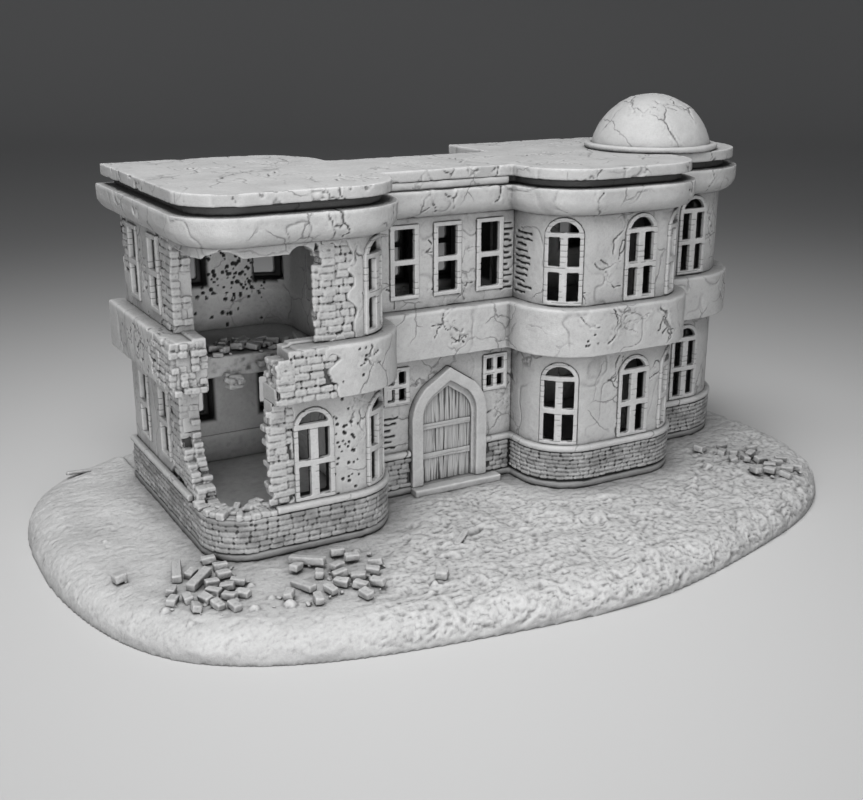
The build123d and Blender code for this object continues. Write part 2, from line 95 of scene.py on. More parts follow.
# ---- the plan as a path
def plan_runs():
    """The wall face as runs: straight (start, direction, length) and round (centre, radius, angle)."""
    runs = []
    count = len(CORNERS)
    place = 0.0
    for i, (x, y, radius) in enumerate(CORNERS):
        ax, ay, after = CORNERS[(i + 1) % count]
        bx, by, _ = CORNERS[i - 1]
        into = np.sign([x - bx, y - by])
        out_of = np.sign([ax - x, ay - y])
        corner = np.array([x, y], float)
        if radius:
            centre = corner + (out_of - into) * radius
            normal = np.array([into[1], -into[0]])
            start = math.atan2(normal[1], normal[0])
            length = radius * math.pi / 2
            runs.append(("round", place, length, centre, radius, start))
            place += length
        begin = corner + out_of * radius
        length = abs(ax - x) + abs(ay - y) - radius - after
        runs.append(("straight", place, length, begin, out_of, None))
        place += length
    return runs, place


RUNS, PERIMETER = plan_runs()


def plan_at(s, out=0.0):
    """Points out from the wall face at distances s along it, with their outward normals."""
    s = np.mod(np.atleast_1d(np.asarray(s, float)), PERIMETER)
    xy = np.zeros((len(s), 2))
    normal = np.zeros((len(s), 2))
    for kind, place, length, anchor, shape, start in RUNS:
        here = (s >= place - 1e-9) & (s <= place + length + 1e-9)
        along = s[here] - place
        if kind == "round":
            angle = start + along / shape
            normal[here] = np.stack([np.cos(angle), np.sin(angle)], 1)
            xy[here] = anchor + normal[here] * shape
        else:
            normal[here] = [shape[1], -shape[0]]
            xy[here] = anchor + along[:, None] * shape
    return xy + normal * np.asarray(out)[..., None], normal


def plan_coords(points):
    """Distance along the wall face and out from it, for each point."""
    xy = points[:, :2]
    best = np.full(len(xy), 1e9)
    s = np.zeros(len(xy))
    out = np.zeros(len(xy))
    for kind, place, length, anchor, shape, start in RUNS:
        delta = xy - anchor
        if kind == "round":
            reach = np.hypot(delta[:, 0], delta[:, 1])
            angle = np.mod(np.arctan2(delta[:, 1], delta[:, 0]) - start + 1e-6, 2 * math.pi)
            inside = angle <= math.pi / 2 + 1e-5
            along = np.where(inside, angle * shape, 0)
            away = reach - shape
            gap = np.where(inside, np.abs(away), 1e9)
        else:
            run = delta @ shape
            along = np.clip(run, 0, length)
            away = delta @ np.array([shape[1], -shape[0]])
            gap = np.hypot(away, run - along)
        closer = gap < best - 1e-6
        best = np.where(closer, gap, best)
        s = np.where(closer, place + along, s)
        out = np.where(closer, away, out)
    return s, out


def s_of(x, y):
    """Distance along the wall face of the point nearest to x, y."""
    return float(plan_coords(np.array([[x, y, 0.0]]))[0][0])


# ---- noise
def lattice(cell, seed):
    """Repeatable random numbers from -1 to 1 on whole-number cells."""
    h = (cell[..., 0] * 374761393 + cell[..., 1] * 668265263 + cell[..., 2] * 2147483629 + seed * 974634777)
    h = h & 0xFFFFFFFF
    h = ((h ^ (h >> 13)) * 1274126177) & 0xFFFFFFFF
    h = ((h ^ (h >> 15)) * 2246822519) & 0xFFFFFFFF
    return ((h ^ (h >> 16)) & 0xFFFF) / 32767.5 - 1.0


def noise(points, size, seed=0):
    """Smooth value noise from -1 to 1, with bumps about size across; size may differ per axis."""
    q = points / np.asarray(size, float)
    base = np.floor(q).astype(np.int64)
    f = q - base
    f = f * f * f * (f * (f * 6 - 15) + 10)
    total = 0.0
    for dx in (0, 1):
        wx = f[:, 0] if dx else 1 - f[:, 0]
        for dy in (0, 1):
            wy = f[:, 1] if dy else 1 - f[:, 1]
            for dz in (0, 1):
                wz = f[:, 2] if dz else 1 - f[:, 2]
                total = total + wx * wy * wz * lattice(base + np.array([dx, dy, dz]), seed)
    return total


def fractal(points, size, octaves=4, seed=0, gain=0.5):
    """Sum of noises, each half as large as the last."""
    total = 0.0
    scale = 1.0
    size = np.asarray(size, float)
    for k in range(octaves):
        total = total + scale * noise(points, size / 2 ** k, seed + 31 * k)
        scale *= gain
    return total


def warp(points, size, amount, seed):
    """Points pushed about by noise, so that patterns on them look natural."""
    push = np.stack([fractal(points, size, 3, seed + 7 * k) for k in range(3)], 1)
    return points + push * amount


def smooth_step(low, high, value):
    """0 below low, 1 above high, and smooth between."""
    t = np.clip((value - low) / (high - low), 0, 1)
    return t * t * (3 - 2 * t)


# ---- surface features
def wander(start, heading, length, seed, forks=2):
    """Crack that wanders off from a point and forks: a list of lines of points."""
    chance = random.Random(seed)
    lines = []

    def run(place, aim, left, branches):
        line = [place]
        angle = aim
        while left > 0:
            step = chance.uniform(0.8, 2.0)
            angle = aim + 0.6 * (angle - aim) + chance.gauss(0, 0.5)
            place = (place[0] + step * math.cos(angle), place[1] + step * math.sin(angle))
            line.append(place)
            left -= step
            if branches and left > 3 and chance.random() < 0.3:
                branches -= 1
                run(place, aim + chance.choice((-1, 1)) * chance.uniform(0.5, 1.1), left * 0.6, 0)
        lines.append(line)

    run(start, math.radians(heading), length, forks)
    return lines


def line_depth(a, b, lines, width, frayed=3.0):
    """Depth of cracks along lines in the plane of a and b, and how near a crack is, both 0 to 1."""
    depth = np.zeros(len(a))
    close = np.zeros(len(a))
    for line in lines:
        points = np.array(line)
        low, high = points.min(0) - frayed, points.max(0) + frayed
        near = np.nonzero((a > low[0]) & (a < high[0]) & (b > low[1]) & (b < high[1]))[0]
        if not len(near):
            continue
        here = np.stack([a[near], b[near]], 1)
        gap = np.full(len(near), 9.0)
        for k, (p, q) in enumerate(zip(points[:-1], points[1:])):
            span = q - p
            t = np.clip(((here - p) @ span) / max(span @ span, 1e-9), 0, 1)
            reach = np.linalg.norm(here - p - t[:, None] * span, axis=1)
            gap = np.minimum(gap, reach / (1.15 - 0.6 * k / len(points)))
        flat = np.stack([a[near], b[near], 0 * a[near]], 1)
        wide = width * (0.80 + 0.5 * noise(flat, 2.5, 61))
        fade = 0.25 + 0.75 * smooth_step(-0.45, 0.35, noise(flat, 5.0, 64))
        depth[near] = np.maximum(depth[near], fade * (1 - smooth_step(wide * 0.25, wide, gap)))
        close[near] = np.maximum(close[near], 1 - smooth_step(0.2, frayed, gap))
    return depth, close


def crumpled(points, close):
    """Rough, slightly lifted plaster beside cracks."""
    return close * (0.22 * fractal(points, 2.2, 3, 62) + 0.16 * noise(points, 5.0, 63))


def creases(points, seed=70):
    """Long shallow folds that wander over plaster, from 0 to 1."""
    bent = points + 3.0 * np.stack([noise(points, 8.0, seed + k) for k in range(3)], 1)
    line = np.abs(noise(bent, (12.0, 12.0, 16.0), seed + 3))
    where = smooth_step(-0.35, 0.25, noise(points, 24.0, seed + 4))
    return where * (1 - smooth_step(0.0, 0.08, line))


def pits(points, spots, depth_share=0.8):
    """Depth of round bullet holes: spots are (centre, radius)."""
    depth = np.zeros(len(points))
    low, high = points.min(0) - 2, points.max(0) + 2
    for centre, radius in spots:
        if (centre < low).any() or (centre > high).any():
            continue
        gap2 = ((points - centre) ** 2).sum(1)
        near = gap2 < (1.4 * radius) ** 2
        reach = np.sqrt(gap2[near]) / radius
        hole = radius * depth_share * (1 - smooth_step(0.7, 1.15, reach))
        depth[near] = np.maximum(depth[near], hole)
    return depth


def patch_mask(s, z, patches):
    """How far inside any ragged patch a point is; patches are (s, z, half length, half height, square)."""
    best = np.full(len(s), -9.0)
    for s0, z0, half_s, half_z, square in patches:
        ds = (np.mod(s - s0 + PERIMETER / 2, PERIMETER) - PERIMETER / 2) / half_s
        dz = (z - z0) / half_z
        if square:
            inside = 1 - np.maximum(np.abs(ds), np.abs(dz))
        else:
            inside = 1 - np.sqrt(ds * ds + dz * dz)
        best = np.maximum(best, inside)
    return best + 0.30 * fractal(np.stack([s, 0 * s, z], 1), 5.0, 2, 3)


def grooves(s, z, places, pitch=2.45, half=0.56):
    """Depth from 0 to 1 of rows of slots: places are (s0, s1, z0, z1)."""
    depth = np.zeros(len(s))
    for k, (s0, s1, z0, z1) in enumerate(places):
        row = np.floor((z - z0) / pitch)
        cell = np.stack([row, 0 * row, 0 * row], 1).astype(np.int64)
        start = s0 + 0.15 * (s1 - s0) * (0.5 + 0.5 * lattice(cell, 200 + k))
        end = s1 - 0.40 * (s1 - s0) * (0.5 + 0.5 * lattice(cell, 210 + k))
        wave = 0.35 * noise(np.stack([s, z, 0 * s], 1), 2.2, 220 + k)
        off = np.abs(z - z0 - (row + 0.5) * pitch + wave)
        slot = 1 - smooth_step(0.35 * half, half, off)
        slot *= smooth_step(0, 0.6, s - start) * smooth_step(0, 0.8, end - s)
        slot *= (z > z0) & (z < z1)
        depth = np.maximum(depth, slot)
    return depth


# ---- meshes
def finish_piece(name, node, mesh, material, replaces, stain_and_painted_shade):
    """Object of a finished mesh, with its material, body and the nodes it stands for."""
    mesh.materials.clear()
    mesh.materials.append(material)
    mesh.shade_smooth()
    # cavity drives painted highlights on edges and painted shade in hollows; the other attribute carries
    # stains and painted shade.
    for key, values in (("cavity", cavity_of(mesh)), ("stain_and_painted_shade", stain_and_painted_shade)):
        layer = mesh.attributes.new(key, "FLOAT", "POINT")
        layer.data.foreach_set("value", np.full(len(mesh.vertices), values, np.float32))
    piece = bpy.data.objects.new(name, mesh)
    bpy.context.scene.collection.objects.link(piece)
    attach(piece, BODY[node])
    if replaces:
        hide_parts(*replaces)


def evenly_remeshed(mesh, voxel):
    """Even quad mesh of a closed mesh, its edges rounded to about a voxel."""
    source = bpy.data.objects.new("source", mesh)
    bpy.context.scene.collection.objects.link(source)
    remesh = source.modifiers.new("even", "REMESH")
    remesh.mode = "VOXEL"
    remesh.voxel_size = voxel * COARSE * MM
    bpy.context.view_layer.update()
    graph = bpy.context.evaluated_depsgraph_get()
    even = bpy.data.meshes.new_from_object(source.evaluated_get(graph))
    bpy.data.objects.remove(source)
    return even


def open_up_underside(mesh):
    """Joins the flat faces of a mesh's underside into one face."""
    work = bmesh.new()
    work.from_mesh(mesh)
    low = min(vert.co.z for vert in work.verts) + 0.3 * MM
    flat = [face for face in work.faces if face.normal.z < -0.98 and all(v.co.z < low for v in face.verts)]
    bmesh.ops.dissolve_faces(work, faces=flat, use_verts=False)
    work.to_mesh(mesh)
    work.free()


def mesh_arrays(mesh):
    """Points in building millimetres and vertex normals."""
    co = np.empty(len(mesh.vertices) * 3, np.float32)
    mesh.vertices.foreach_get("co", co)
    normals = np.empty(len(mesh.vertices) * 3, np.float32)
    mesh.vertex_normals.foreach_get("vector", normals)
    return to_building(co.reshape(-1, 3)), normals.reshape(-1, 3).astype(float)


def move_points(mesh, points):
    """Puts a mesh's points at these places, in building millimetres."""
    mesh.vertices.foreach_set("co", to_world(points).astype(np.float32).ravel())
    mesh.update()


def neighbour_mean(mesh, values):
    """Mean of each value over the vertices joined to a vertex by an edge."""
    edges = np.empty(len(mesh.edges) * 2, np.int32)
    mesh.edges.foreach_get("vertices", edges)
    a, b = edges.reshape(-1, 2).T
    total = len(values)
    count = np.bincount(a, minlength=total) + np.bincount(b, minlength=total)
    columns = [np.bincount(a, column[b], minlength=total) + np.bincount(b, column[a], minlength=total)
               for column in np.atleast_2d(values.T)]
    return np.squeeze(np.stack(columns, -1) / np.maximum(count, 1)[:, None])


def cavity_of(mesh):
    """Smoothed curvature of a mesh in millimetres: positive in hollows, negative on edges."""
    points, normals = mesh_arrays(mesh)
    bend = ((neighbour_mean(mesh, points) - points) * normals).sum(1)
    return 0.5 * bend + 0.5 * neighbour_mean(mesh, bend[:, None])


def sculpt(node, voxel, relief, material, name=None, flat_under=False, shift=None):
    """Dense copy of a CAD node; relief(points) gives each point's height and its stains and painted shade,
    shift a further move.
    """
    mesh = NODES[node].data.copy()
    mesh.materials.clear()
    mesh = evenly_remeshed(mesh, voxel)
    points, normals = mesh_arrays(mesh)
    height, stain_and_painted_shade = relief(points)
    move = normals * height[:, None]
    if shift:
        move += shift(points)
    move_points(mesh, points + move)
    finish_piece(name or node + "_cast", node, mesh, material, (node,), stain_and_painted_shade)
    if flat_under:
        open_up_underside(mesh)


def islands(node):
    """Points of each separate solid of a CAD node, in building millimetres."""
    work = bmesh.new()
    work.from_mesh(NODES[node].data)
    bmesh.ops.remove_doubles(work, verts=work.verts, dist=1e-6)
    seen = set()
    found = []
    for vert in work.verts:
        if vert in seen:
            continue
        seen.add(vert)
        stack = [vert]
        group = []
        while stack:
            here = stack.pop()
            group.append(here.co[:])
            for edge in here.link_edges:
                other = edge.other_vert(here)
                if other not in seen:
                    seen.add(other)
                    stack.append(other)
        found.append(to_building(group))
    work.free()
    return found


# ---- bricks
def block_template():
    """Corner signs, their axes and the faces of a block with chamfered edges: three points at each corner."""
    signs = [(x, y, z) for x in (-1, 1) for y in (-1, 1) for z in (-1, 1)]
    index = {(sign, axis): 3 * k + axis for k, sign in enumerate(signs) for axis in range(3)}
    faces = []
    for axis in range(3):
        u, v = [a for a in range(3) if a != axis]

        def at(side, du, dv, way):
            sign = [0, 0, 0]
            sign[axis], sign[u], sign[v] = side, du, dv
            return index[(tuple(sign), way)]

        for side in (-1, 1):
            faces.append([at(side, du, dv, axis) for du, dv in ((-1, -1), (1, -1), (1, 1), (-1, 1))])
        for du in (-1, 1):
            for dv in (-1, 1):
                faces.append([at(side, du, dv, way) for side, way in ((-1, u), (1, u), (1, v), (-1, v))])
    faces += [[index[(sign, axis)] for axis in range(3)] for sign in signs]
    corner = np.repeat(np.array(signs, float), 3, 0)
    which = np.tile(np.arange(3), len(signs))
    sample = corner * np.where(np.arange(3) == which[:, None], 1.0, 0.8)
    for face in faces:
        a, b, c = sample[face[:3]]
        if np.dot(np.cross(b - a, c - a), sample[face].mean(0)) <= 0:
            face.reverse()
    return corner, which, faces


BLOCK_CORNER, BLOCK_AXIS, BLOCK_FACES = block_template()


def direction(turn, tip):
    """Unit vector turned from +X toward +Y and tipped upward, in radians."""
    return np.array([math.cos(turn) * math.cos(tip), math.sin(turn) * math.cos(tip), math.sin(tip)])


def tumbled(chance):
    """Three random square directions for a block that fell anyhow."""
    turn, tip = chance.uniform(0, math.pi), chance.uniform(-0.5, 0.5)
    along = direction(turn, tip)
    side = np.array([-math.sin(turn), math.cos(turn), 0])
    return [along, side, np.cross(along, side)]


class Blocks:
    """Collects chamfered, slightly uneven blocks into one mesh."""

    def __init__(self, seed):
        self.random = random.Random(seed)
        self.points = []
        self.faces = []

    def vary(self, amount):
        """Random number from -amount to amount."""
        return self.random.uniform(-amount, amount)

    def add(self, centre, axes, size, chamfer=0.35, rough=0.12):
        """One block: axes are its three unit directions and size its full lengths along them."""
        half = np.asarray(size, float) / 2
        edge = min(chamfer, 0.35 * min(size))
        local = BLOCK_CORNER * np.where(np.arange(3) == BLOCK_AXIS[:, None], half, half - edge)
        jitter = np.array([[self.vary(rough) for _ in range(3)] for _ in range(8)])
        local = local + np.repeat(jitter, 3, 0)
        start = 24 * len(self.points)
        self.points.append(np.asarray(centre) + local @ np.asarray(axes, float))
        self.faces += [[start + k for k in face] for face in BLOCK_FACES]

    def on_wall(self, s, z, out, size, chamfer=0.35, rough=0.12, tilt=0.0):
        """One block on the wall: size is along the wall, out of it and up; out is its outer face."""
        (xy,), (normal,) = plan_at(s, out - size[1] / 2)
        ends, _ = plan_at([s - size[0] / 2, s + size[0] / 2], out - 0.3)
        size = (float(np.linalg.norm(ends[1] - ends[0])), size[1], size[2])
        tangent = np.array([-normal[1], normal[0], 0.0])
        facing = np.array([normal[0], normal[1], 0.0])
        up = np.array([0, 0, 1.0])
        roll = math.radians(tilt)
        across = tangent * math.cos(roll) + up * math.sin(roll)
        upward = up * math.cos(roll) - tangent * math.sin(roll)
        self.add([xy[0], xy[1], z], [across, facing, upward], size, chamfer, rough)

    def courses(self, s0, s1, z0, z1, out, depth, keep=None, course=COURSE, length=6.0, gap=0.42, play=0.2,
                rough=0.12, tilt=2.0):
        """Running bond over a stretch of wall; keep(s, z) says which bricks are laid."""
        rows = max(1, round((z1 - z0) / course))
        height = (z1 - z0) / rows
        for row in range(rows):
            z = z0 + height * (row + 0.5)
            s = s0 - length * (0.5 * (row % 2) + self.random.uniform(0, 0.3))
            while s < s1:
                long = length * self.random.uniform(0.72, 1.25)
                low, high = max(s, s0), min(s + long, s1)
                middle = (low + high) / 2
                if high - low > 1.6 and (keep is None or keep(middle, z)):
                    self.on_wall(
                        middle, z + self.vary(0.12), out + self.vary(play),
                        (high - low - gap, depth, height - gap), rough=rough, tilt=self.vary(tilt))
                s += long

    def broken_end(self, s_end, way, z0, z1, out, inward, reach=2.6, back=5.0, course=COURSE, skip=0.12,
                   layers=2, play=0.15):
        """Bricks sticking unevenly out of a broken wall end; way is +1 where the gap lies ahead."""
        rows = max(1, round((z1 - z0) / course))
        height = (z1 - z0) / rows
        wide = (out + inward) / layers
        for row in range(rows):
            z = z0 + height * (row + 0.5)
            for layer in range(layers):
                if self.random.random() < skip:
                    continue
                poke = self.random.uniform(-0.8, reach)
                face = out - wide * layer + self.vary(play)
                long = back + poke
                self.on_wall(s_end + way * (poke - long / 2), z, face,
                             (long, wide - 0.4, height - 0.4), tilt=self.vary(2.5))

    def piece(self, name, node, material, replaces=(), voxel=BRICK_VOXEL, stain=0.0):
        """The blocks as one object, cast together and worn; stain is how much dark wash clouds them."""
        points = np.concatenate(self.points)
        mesh = bpy.data.meshes.new(name)
        mesh.from_pydata(to_world(points).tolist(), [], self.faces)
        mesh = evenly_remeshed(mesh, voxel)
        points, normals = mesh_arrays(mesh)
        wear = 0.10 * fractal(points, 1.7, 3, 64) - pits(points, BULLET_HOLES)
        move_points(mesh, points + normals * wear[:, None])
        stain_and_painted_shade = stain * (0.6 + 0.8 * smooth_step(-0.3, 0.5, fractal(points, (9.0, 9.0, 4.0), 3, 65)))
        finish_piece(name, node, mesh, material, replaces, stain_and_painted_shade)


# ---- materials
def nodes_of(name):
    """New node material with its principled shader and a helper that adds linked nodes."""
    material = bpy.data.materials.new(name)
    material.use_nodes = True
    tree = material.node_tree
    shader = tree.nodes["Principled BSDF"]

    def add(kind, inputs=(), **settings):
        node = tree.nodes.new(kind)
        for key, value in settings.items():
            setattr(node, key, value)
        for key, value in dict(inputs).items():
            if isinstance(value, bpy.types.NodeSocket):
                tree.links.new(value, node.inputs[key])
            else:
                node.inputs[key].default_value = value
        return node

    return material, tree, shader, add


def ramp(add, source, stops):
    """Colour ramp of greys: stops are (place, grey)."""
    node = add("ShaderNodeValToRGB", {"Fac": source})
    elements = node.color_ramp.elements
    while len(elements) < len(stops):
        elements.new(0.5)
    for element, (place, grey) in zip(elements, stops):
        element.position = place
        element.color = (grey, grey, grey, 1)
    return node.outputs["Color"]


def multiplied(add, tone, source, stops):
    """A colour multiplied by a ramp of greys."""
    grey = ramp(add, source, stops)
    mix = add("ShaderNodeMix", data_type="RGBA", blend_type="MULTIPLY")
    mix.inputs["Factor"].default_value = 1.0
    links = mix.id_data.links
    links.new(tone, mix.inputs["A"])
    links.new(grey, mix.inputs["B"])
    return mix.outputs["Result"]


def resin(name, light, dark, grain=0.5, mottle=9.0, rough=0.62, bump=0.25, streak=(1, 1, 1), painted_cavity_strength=3.0,
          hairline=0.0, reach=5.0):
    """Primed grey resin: painted highlight on edges, painted shade in hollows and from ambient occlusion,
    cloudy tone, fine grain and hair cracks.
    """
    material, tree, shader, add = nodes_of(name)
    coords = add("ShaderNodeTexCoord")
    place = add("ShaderNodeMapping", {"Vector": coords.outputs["Object"], "Scale": streak}).outputs["Vector"]
    cavity = add("ShaderNodeAttribute", attribute_name="cavity").outputs["Fac"]
    stain_and_painted_shade = add("ShaderNodeAttribute", attribute_name="stain_and_painted_shade").outputs["Fac"]

    def speckle(scale, detail, **more):
        sockets = {"Vector": place, "Scale": scale, "Detail": detail, **more}
        return add("ShaderNodeTexNoise", sockets).outputs

    cloud = speckle(1 / (mottle * MM), 5.0, Roughness=0.6)["Fac"]
    fine = speckle(1 / (grain * MM), 3.0, Roughness=0.65)["Fac"]
    # Painted highlight on edges and painted shade in hollows: the curvature sets a paler or darker grey.
    cavity_light_and_shade = add("ShaderNodeMath", {0: cavity, 1: painted_cavity_strength, 2: 0.5}, operation="MULTIPLY_ADD")
    tone = ramp(add, cavity_light_and_shade.outputs[0], ((0.25, light * 1.15), (0.5, light), (0.68, dark), (0.9, dark * 0.3)))
    tone = multiplied(add, tone, cloud, ((0.3, 0.88), (0.7, 1.06)))
    tone = multiplied(add, tone, fine, ((0.3, 0.9), (0.6, 1.0), (0.8, 1.04)))
    # Stains and painted shade from the attribute darken the colour.
    tone = multiplied(add, tone, stain_and_painted_shade, ((0.0, 1.0), (1.0, 0.02)))
    # Painted shade: ambient occlusion within reach darkens the colour.
    painted_ao_shade = add("ShaderNodeAmbientOcclusion", {"Distance": reach * MM}, samples=6)
    tone = multiplied(add, tone, painted_ao_shade.outputs["AO"], ((0.15, 0.10), (0.55, 0.62), (0.95, 1.0)))
    relief = add("ShaderNodeMath", {0: fine, 1: cloud}, operation="ADD").outputs[0]
    if hairline:
        bent = speckle(160.0, 4.0)["Color"]
        drift = add("ShaderNodeVectorMath", {0: bent, 1: (0.006,) * 3}, operation="MULTIPLY")
        moved = add("ShaderNodeVectorMath", {0: place, 1: drift.outputs[0]}, operation="ADD")
        net = add("ShaderNodeTexVoronoi", {"Vector": moved.outputs[0], "Scale": 62.0},
                  feature="DISTANCE_TO_EDGE")
        line = ramp(add, net.outputs["Distance"], ((0.0, 0.0), (0.022, 1.0)))
        gone = ramp(add, speckle(34.0, 3.0)["Fac"], ((0.52, 1.0), (0.60, 0.0)))
        kept = add("ShaderNodeMath", {0: line, 1: gone}, operation="MAXIMUM").outputs[0]
        # Hair cracks darkened with painted shade.
        tone = multiplied(add, tone, kept, ((0.0, 1 - hairline), (1.0, 1.0)))
        relief = add("ShaderNodeMath", {0: kept, 1: 2.0, 2: relief}, operation="MULTIPLY_ADD").outputs[0]
    tree.links.new(tone, shader.inputs["Base Color"])
    polish = add("ShaderNodeMapRange",
                 {"Value": cloud, "To Min": rough - 0.08, "To Max": rough + 0.1})
    tree.links.new(polish.outputs["Result"], shader.inputs["Roughness"])
    bumped = add("ShaderNodeBump", {"Strength": bump, "Distance": 0.0004, "Height": relief})
    tree.links.new(bumped.outputs["Normal"], shader.inputs["Normal"])
    shader.inputs["Specular IOR Level"].default_value = 0.35
    return material


# light and dark are the greys on flats and in hollows; the cavity strength sets the painted highlight on
# edges and painted shade in hollows, reach the distance of the painted ambient-occlusion shade.
PLASTER = resin("plaster_resin", 0.40, 0.20, hairline=0.5, bump=0.5, reach=10.0)
BRICK = resin("brick_resin", 0.37, 0.15, grain=0.8, bump=0.8, mottle=4.0, reach=4.0, painted_cavity_strength=4.6)
TERRAIN = resin("terrain_resin", 0.42, 0.24, grain=1.1, mottle=16.0, bump=0.9, rough=0.7, reach=16.0,
                painted_cavity_strength=1.6)
FRAME = resin("frame_resin", 0.42, 0.22, grain=0.6, reach=2.0)
ROOF = resin("roof_resin", 0.41, 0.22, grain=0.6, mottle=14.0, hairline=0.6)
TIMBER = resin("timber_resin", 0.34, 0.12, grain=1.6, mottle=6.0, streak=(1, 1, 0.12), bump=0.8, painted_cavity_strength=5.0)
STONE = resin("stone_resin", 0.38, 0.20, grain=0.8, bump=0.4)
SHADE = resin("shaded_resin", 0.19, 0.10, grain=0.8, bump=0.4)


# ---- where plaster is lost
WALL_PATCHES = {
    "upper": [
        (s_of(LEFT, 14), 93, 7.5, 21, True),
        (s_of(52.5, FRONT), 92, 6.5, 17.5, True),
        (s_of(LEFT, 68), 99, 5.5, 11, False),
        (s_of(LEFT, 41), 92, 2.6, 7, False),
    ],
    "ground": [
        (s_of(LEFT, 9), 33, 13.0, 23, True),
        (s_of(30.5, FRONT), 33, 4.6, 21, True),
    ],
}
BELT_PATCHES = [
    (s_of(36, FRONT), 64, 12, 15, False),
    (s_of(LEFT, 4), 66, 17, 11, False),
]

# Rows of bare joints without a clear edge: from, to, bottom, top
INNER_CORNER = s_of(BAY_START, 0)
GROOVES = [
    (INNER_CORNER - 7, INNER_CORNER, 78, 106),
    (INNER_CORNER, INNER_CORNER + 13, 77, 105),
    (s_of(84, 0), s_of(93, 0), 17, 32),
    (s_of(LEFT_END, -3), s_of(LEFT_END, 0), 17, 30),
]

# Cracks on the walls, belt and cornice: x, y, height, heading in degrees, length
CRACKS = [
    # cornice
    (50, FRONT, 111, 85, 12), (53, FRONT, 122, -80, 12), (68, -25, 111, 70, 12),
    (73, -20, 122, -100, 12), (97, 0, 111, 60, 8), (104, 0, 122, -70, 9),
    (116, 0, 122, -95, 10), (133, 0, 116, 30, 9), (165, FRONT, 111, 80, 10),
    (208, -27, 122, -85, 11), (211, -24, 111, 100, 10), (245, 0, 122, -80, 10),
    (LEFT, 20, 112, 95, 10), (LEFT, 52, 122, -85, 10),
    # upper walls
    (62, FRONT, 108, -110, 26), (66, -28, 100, -60, 22), (60, FRONT, 82, 40, 14),
    (105, 0, 97, 25, 8), (125, 0, 97, -15, 8), (108, 0, 82, -25, 14),
    (127, 0, 83, -150, 16), (88, 0, 84, -50, 10), (180, FRONT, 110, -95, 26),
    (179, FRONT, 92, -160, 14), (172, FRONT, 88, -35, 12), (206, -28, 108, -75, 20),
    (209, -26, 96, -95, 18), (160, -25, 83, -60, 7), (258, 2, 108, -95, 26),
    (LEFT, 46, 104, -95, 24), (LEFT, 62, 104, -85, 20),
    # belt
    (112, 0, 70, -60, 13), (112, 0, 70, -120, 10), (110, 0, 74, -30, 14),
    (114, 0, 63, 20, 9), (119, 0, 66, -100, 10), (170, FRONT, 60, 32, 26),
    (174, FRONT, 65, 25, 20), (196, FRONT, 73, -80, 17), (199, FRONT, 70, -110, 15),
    (212, -23, 74, -95, 18), (214, -20, 66, -60, 10), (160, -27, 72, -50, 8),
    (63, FRONT, 73, -70, 12), (LEFT, 36, 74, -100, 20), (LEFT, 38, 70, -80, 16),
    (262, 4, 74, -100, 17), (256, 1, 68, -20, 10),
    # ground walls
    (58, FRONT, 54, -50, 14), (62, FRONT, 48, -70, 24), (66, -28, 44, -30, 9),
    (134, 0, 46, -10, 8), (146, 0, 38, -130, 16), (140, 0, 30, -100, 12),
    (143, 0, 44, -60, 8), (176, FRONT, 42, 15, 13), (181, FRONT, 52, -100, 12),
    (187, FRONT, 30, -110, 14), (208, -27, 50, -95, 26), (212, -23, 38, -70, 14),
    (96, 0, 48, -30, 7), (LEFT, 40, 50, -90, 24), (LEFT, 64, 48, -80, 22),
]
CRACK_LINES = [line for k, (x, y, z, heading, length) in enumerate(CRACKS)
               for line in wander((s_of(x, y), z), heading, length, 300 + k)]
ROOF_CRACKS = [
    (38, 2, 0, 34), (20, 30, 15, 30), (60, -18, 40, 30), (88, 10, 5, 30), (100, 22, -5, 34),
    (128, 12, 20, 26),
    (150, -10, 30, 30), (165, 20, 0, 36), (200, -12, 60, 26), (196, 30, -20, 30), (185, 55, 10, 40),
    (52, 55, -60, 36), (68, -24, 100, 9), (71, -20, 80, 10), (262, 10, 100, 22), (225, 66, 20, 30),
]
ROOF_LINES = [line for k, (x, y, heading, length) in enumerate(ROOF_CRACKS)
              for line in wander((x, y), heading, length, 400 + k)]


def patch_keep(patches):
    """Test for laying a brick: it is inside a patch."""
    def keep(s, z):
        return patch_mask(np.array([s]), np.array([z]), patches)[0] > 0.02
    return keep


def window_places():
    """Each window by storey: distance along the wall, half width, bottom and top."""
    found = {"ground": [], "upper": []}
    for node in NODES:
        if "_window_" not in node:
            continue
        for points in islands(node):
            s, _ = plan_coords(points)
            middle = (s.min() + s.max()) / 2
            found[node.split("_")[0]].append(
                (middle, s.max() - middle, points[:, 2].min(), points[:, 2].max()))
    return found


WINDOWS = window_places()


def reveal_painted_shade(storey, s, out, z):
    """Painted shade on window reveals and round the openings on the inside of the walls."""
    stain_and_painted_shade = np.zeros(len(s))
    for middle, half, low, high in WINDOWS[storey]:
        beyond = np.maximum(np.abs(s - middle) - half, np.maximum(low - z, z - high))
        depth = smooth_step(-0.9, -1.6, out)
        stain_and_painted_shade = np.maximum(stain_and_painted_shade, depth * (1 - smooth_step(0.2, 2.0, beyond)))
    return stain_and_painted_shade


def scattered_holes(centre, spread, count, radii, seed):
    """Bullet holes scattered about a centre on a wall."""
    chance = random.Random(seed)
    holes = []
    for _ in range(count):
        spot = [c + chance.gauss(0, 1) * w for c, w in zip(centre, spread)]
        holes.append((np.array(spot), chance.uniform(*radii)))
    return holes


